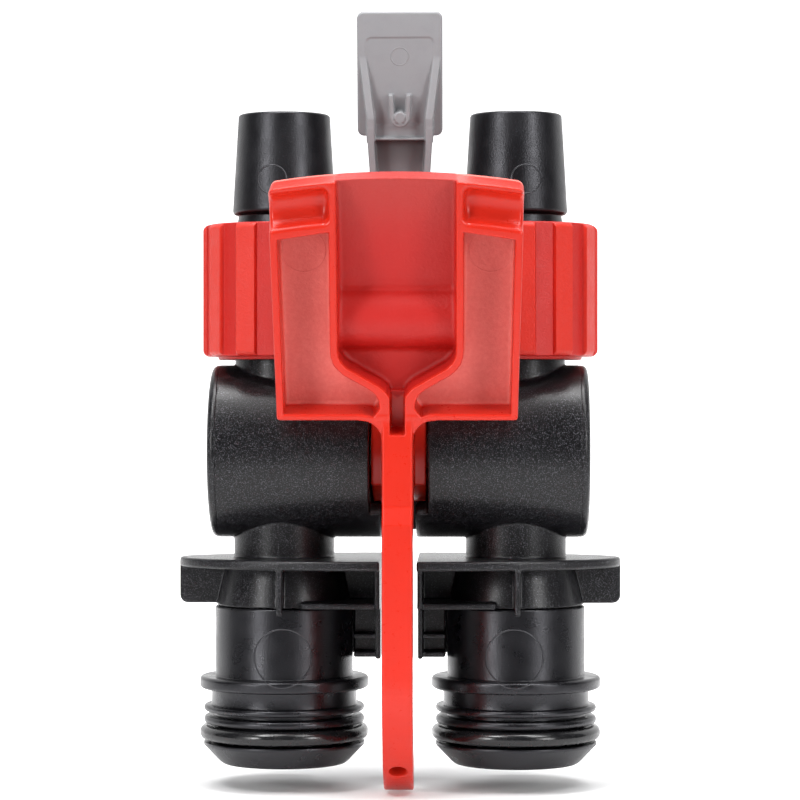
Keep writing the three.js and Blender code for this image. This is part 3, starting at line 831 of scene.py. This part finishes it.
def paddle_red():
    """Glossy rims over satin floors in the pockets, paler by a painted sheen, and a middle channel in a
    deeper red of painted shade.
    """
    look = Look("red_lever_plastic", RED, 0.32, specular=0.38)
    corner = (0, PADDLE_Y, PADDLE_Z + LIFT)
    depth = look.along(PADDLE_OUT, corner)
    up = look.along(PADDLE_UP, corner)
    across = look.sideways()

    funnel = look.maths("MINIMUM", 10.2, look.minus(look.times(up, 1.4), 4.6))
    inside = look.ramp(look.minus(across, funnel), 0.2, 0.9, 1.0, 0.0)
    channel = look.times(inside, look.ramp(depth, -1.6, -0.9, 1.0, 0.0))
    # painted shade: the recessed middle channel is tinted a deeper red, and the tint turns duller towards
    # its top
    look.tint(channel, CHANNEL_SHADE_RED)
    look.tint(look.times(channel, look.ramp(up, 30, 44, 0.0, 0.45)), DULL_RED)

    floor = look.ramp(depth, -7.1, -6.5, 1.0, 0.0)
    floor = look.times(floor, look.ramp(up, 0.8, 1.6))
    floor = look.times(floor, look.minus(1, channel))
    mottle = look.noise(0.9, 5, 0.75)
    # painted sheen: the pocket floors are tinted paler, unevenly with the mottle
    look.tint(look.times(floor, look.ramp(mottle, 0.3, 0.75, 0.75, 1.0)), POCKET_SHEEN_RED)

    satin = look.times(look.maths("MAXIMUM", floor, channel), 0.18)
    look.roughness(look.maths("ADD", look.ramp(mottle, 0.3, 0.7, 0.27, 0.33), satin))
    coarseness = look.maths("ADD", look.times(satin, 4.5), 0.15)
    look.bump(look.times(look.noise(0.6, 4, 0.65), coarseness), 0.12)
    ejector = ring_mark(look, look.minus(across, 17), look.minus(up, 30.1), 4)
    look.bump(look.times(ejector, floor), 0.06)
    return look.material


def nut_red():
    """Grained red, with painted shade darkening the valleys between the rib crests."""
    look = Look("red_nut_plastic", RED, 0.34, specular=0.38)
    look.bump(look.noise(0.45, 3, 0.7), 0.11)
    look.patchy(0.36, 0.48, 2.5, 4)
    look.tint(look.ramp(look.noise(0.8, 4), 0.4, 0.8, 0.0, 0.4), (0.6, 0.04, 0.03))
    # painted shade: the valleys between the ribs are tinted a darker red
    from_axis = look.span(look.minus(look.sideways(), COLUMN_X), look.along((0, 1, 0)))
    look.tint(look.ramp(from_axis, 14.75, 15.2, 0.75, 0.0), (0.45, 0.01, 0.008))
    return look.material


def satin_grey():
    """Mottled grey, with painted shade between the stem's two legs."""
    look = Look("grey_satin_plastic", GREY, 0.42)
    look.bump(look.noise(0.25, 3, 0.7), 0.02)
    look.patchy(0.4, 0.5, 3, 3)
    look.tint(look.ramp(look.noise(2.2, 4), 0.4, 0.8, 0.0, 0.4), (0.27, 0.272, 0.285))
    pin = (0, PIN_Y, PIN_Z + LIFT)
    up = look.along(RELEASE_UP, pin)
    back = look.along(RELEASE_BACK, pin)
    mark = ring_mark(look, look.along((1, 0, 0)), look.minus(up, 58.5), 1.67)
    look.bump(mark, 0.08)
    # painted shade between the stem's two legs, darkest just under the thumb plate
    legs = look.ramp(look.sideways(), 4.4, 4.9, 1.0, 0.0)
    legs = look.times(legs, look.ramp(up, 42.9, 43.5, 1.0, 0.0))
    legs = look.times(legs, look.ramp(back, -1.0, 0.5))
    look.tint(look.times(legs, look.ramp(up, 34, 43.4, 0.3, 0.8)), (0.05, 0.045, 0.045))
    return look.material


def wet_rubber():
    look = Look("black_rubber", (0.008, 0.008, 0.009), 0.25)
    look.patchy(0.16, 0.3, 2, 3)
    look.bump(look.noise(0.6, 2), 0.01)
    return look.material


def white_acetal():
    look = Look("white_plastic", (0.75, 0.75, 0.72), 0.35)
    look.tint(look.ramp(look.noise(3, 3), 0.4, 0.7, 0.0, 0.4), (0.68, 0.68, 0.64))
    return look.material


def drawn_steel():
    """Bright steel with streaks along the pin."""
    look = Look("drawn_steel", (0.6, 0.6, 0.61), 0.3)
    look.shader.inputs["Metallic"].default_value = 1
    look.patchy(0.22, 0.4, 0.4, 2, stretch=(0.1, 1, 1))
    return look.material


def studio_white():
    """White paper, darkened towards the front by painted shade, that glows behind the valve."""
    look = Look("studio_paper", (0.9, 0.9, 0.9), 0.8)
    back = look.along((0, 1, 0))
    look.tint(look.ramp(look.noise(40, 3), 0.3, 0.7), (0.88, 0.88, 0.885))
    # painted shade: the floor before the valve is tinted grey
    look.tint(look.ramp(back, -400, -60, 0.8, 0.0), (0.62, 0.62, 0.63))
    look.shader.inputs["Emission Color"].default_value = (1, 1, 1, 1)
    look.link(look.ramp(back, 0, 120, 0.0, 0.95), look.shader.inputs["Emission Strength"])
    return look.material


# ---- Building the pieces ----
def finish_piece(piece, material, body, node):
    """Gives a piece its look, and lets it stand for a CAD node."""
    piece.data.materials.clear()
    piece.data.materials.append(material)
    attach(piece, body)
    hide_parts(node)


def build_body(look):
    low, high = (-42.4, -20.1, -39.4), (42.4, 17, 31.5)
    body = sculpt("body_moulding", body_field, low, high, step=0.36)
    finish_piece(body, look, "body", "valve_body")


def build_cam_lever():
    low, high = (-23.6, -72, -36), (23.6, 47.5, 15.5)
    lever = sculpt("cam_lever_moulding", cam_field, low, high, from_paddle)
    finish_piece(lever, paddle_red(), "cam_lever", "cam_lever")


def build_release_lever():
    low, high = (-8.7, -19.5, -14), (8.7, 6, 67.6)
    release = sculpt("release_lever_moulding", release_field, low, high, from_release)
    finish_piece(release, satin_grey(), "release_lever", "release_lever")


def build_nut(word, shift, look):
    low, high = (-16.2, -16.2, 16.8), (16.2, 16.2, 43.4)
    nut = sculpt(f"lock_nut_{word}_moulding", nut_field, low, high, shift, keep=0.25)
    finish_piece(nut, look, f"lock_nut_{word}", f"lock_nut_{word}")


def build_tail(word, shift, look):
    tail = turned(f"hose_tail_{word}_moulding", softened(TAIL), shift)
    finish_piece(tail, look, "body", f"hose_tail_{word}")


def build_spigot(word, shift, look):
    spigot = turned(f"spigot_{word}_moulding", softened(SPIGOT), shift)
    finish_piece(spigot, look, "body", f"spigot_{word}")


def build_o_ring(word, shift, look):
    section = arc(14.65, -53.15, 1.4, 0, 345, 23)
    ring = turned(f"spigot_o_ring_{word}_rubber", section, shift)
    finish_piece(ring, look, "body", f"spigot_o_ring_{word}")


def build_end_cap(word, shift, look):
    cap = turned(f"end_cap_{word}_moulding", softened(END_CAP, 0.15), shift)
    finish_piece(cap, look, "body", f"end_cap_{word}")


def build_valve():
    grained = grained_black()
    tail_look = marked_black("black_tail_plastic", 23.7, 51, 2.7, satin=0.36)
    spigot_look = marked_black("black_spigot_plastic", 21.5, -38.2, 5.3)
    rubber = wet_rubber()
    red_nut = nut_red()
    build_body(grained)
    build_cam_lever()
    build_release_lever()
    for side, word in ((-1, "left"), (1, "right")):
        shift = upright(side)
        build_nut(word, shift, red_nut)
        build_tail(word, shift, tail_look)
        build_spigot(word, shift, spigot_look)
        build_o_ring(word, shift, rubber)
        build_end_cap(word, sideways(side), grained)


def dress_inner_nodes():
    """Better materials for the CAD nodes that are kept: plugs, seats, seals, the pin and its spring."""
    looks = {"valve_plug": white_acetal(), "seat": wet_rubber(), "seal": wet_rubber()}
    steel = drawn_steel()
    for name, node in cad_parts.items():
        material = next((look for key, look in looks.items() if key in name), None)
        if name in ("release_pin", "release_spring"):
            material = steel
        if material:
            node.data.materials.clear()
            node.data.materials.append(material)


# ---- Studio, in metres ----
FLOOR_Z = -0.0417
AIM = Vector((0, 0, 0.03))
LIGHT_SPREAD = math.radians(70)
SOFTBOX = (0.2, 0.36)
HIGH_BOX = (0.22, 0.22)
LIGHTS = [
    ("left_softbox", (-0.5, -0.58, 0.2), SOFTBOX, 0.42),
    ("right_softbox", (0.52, -0.56, 0.22), SOFTBOX, 0.38),
    ("high_left_softbox", (-0.28, -0.34, 0.66), HIGH_BOX, 0.42),
    ("high_right_softbox", (0.3, -0.32, 0.66), HIGH_BOX, 0.32),
    ("top_softbox", (0.0, -0.05, 0.75), (0.5, 0.3), 1.0),
]
CAMERA = (0.0115, -0.540, 0.0315)
VIEW_WIDTH = 0.152  # of the picture, at the plug axis
SENSOR_MM = 36


def build_sheet():
    """A pale sheet that curves from the floor up into the backdrop."""
    half, near, far, top, curve = 2.0, -1.6, 0.7, 2.2, 0.5
    rail = [(near, FLOOR_Z), (far - curve, FLOOR_Z)]
    rail += arc(far - curve, FLOOR_Z + curve, curve, -85, 0, 24)
    rail.append((far, top))
    points = [(x, y, z) for y, z in rail for x in (-half, half)]
    faces = [(2 * i, 2 * i + 1, 2 * i + 3, 2 * i + 2) for i in range(len(rail) - 1)]
    sheet = object_of("studio_sheet", points, faces)
    sheet.data.shade_smooth()
    sheet.data.materials.append(studio_white())


def build_world():
    world = bpy.data.worlds.new("studio")
    bpy.context.scene.world = world
    world.use_nodes = True
    background = world.node_tree.nodes["Background"]
    background.inputs["Color"].default_value = (1, 1, 1, 1)
    background.inputs["Strength"].default_value = 0.05


def build_light(name, place, size, power):
    data = bpy.data.lights.new(name, "AREA")
    data.shape = "RECTANGLE"
    data.size, data.size_y = size
    data.energy = power
    data.spread = LIGHT_SPREAD
    light = bpy.data.objects.new(name, data)
    light.location = place
    light.rotation_euler = (AIM - light.location).to_track_quat("-Z", "Y").to_euler()
    bpy.context.scene.collection.objects.link(light)


def place_camera():
    """Level with the middle of the valve and a little to its right, turned to face it."""
    side, back, _ = CAMERA
    data = bpy.data.cameras.new("camera")
    data.sensor_width = SENSOR_MM
    data.lens = SENSOR_MM * -back / VIEW_WIDTH
    camera = bpy.data.objects.new("camera", data)
    camera.location = CAMERA
    camera.rotation_euler = (math.radians(90), 0, math.atan2(side, -back))
    bpy.context.scene.collection.objects.link(camera)
    bpy.context.scene.camera = camera


build_valve()
dress_inner_nodes()
build_sheet()
build_world()
for light in LIGHTS:
    build_light(*light)
place_camera()
bpy.context.scene.view_settings.view_transform = "Standard"
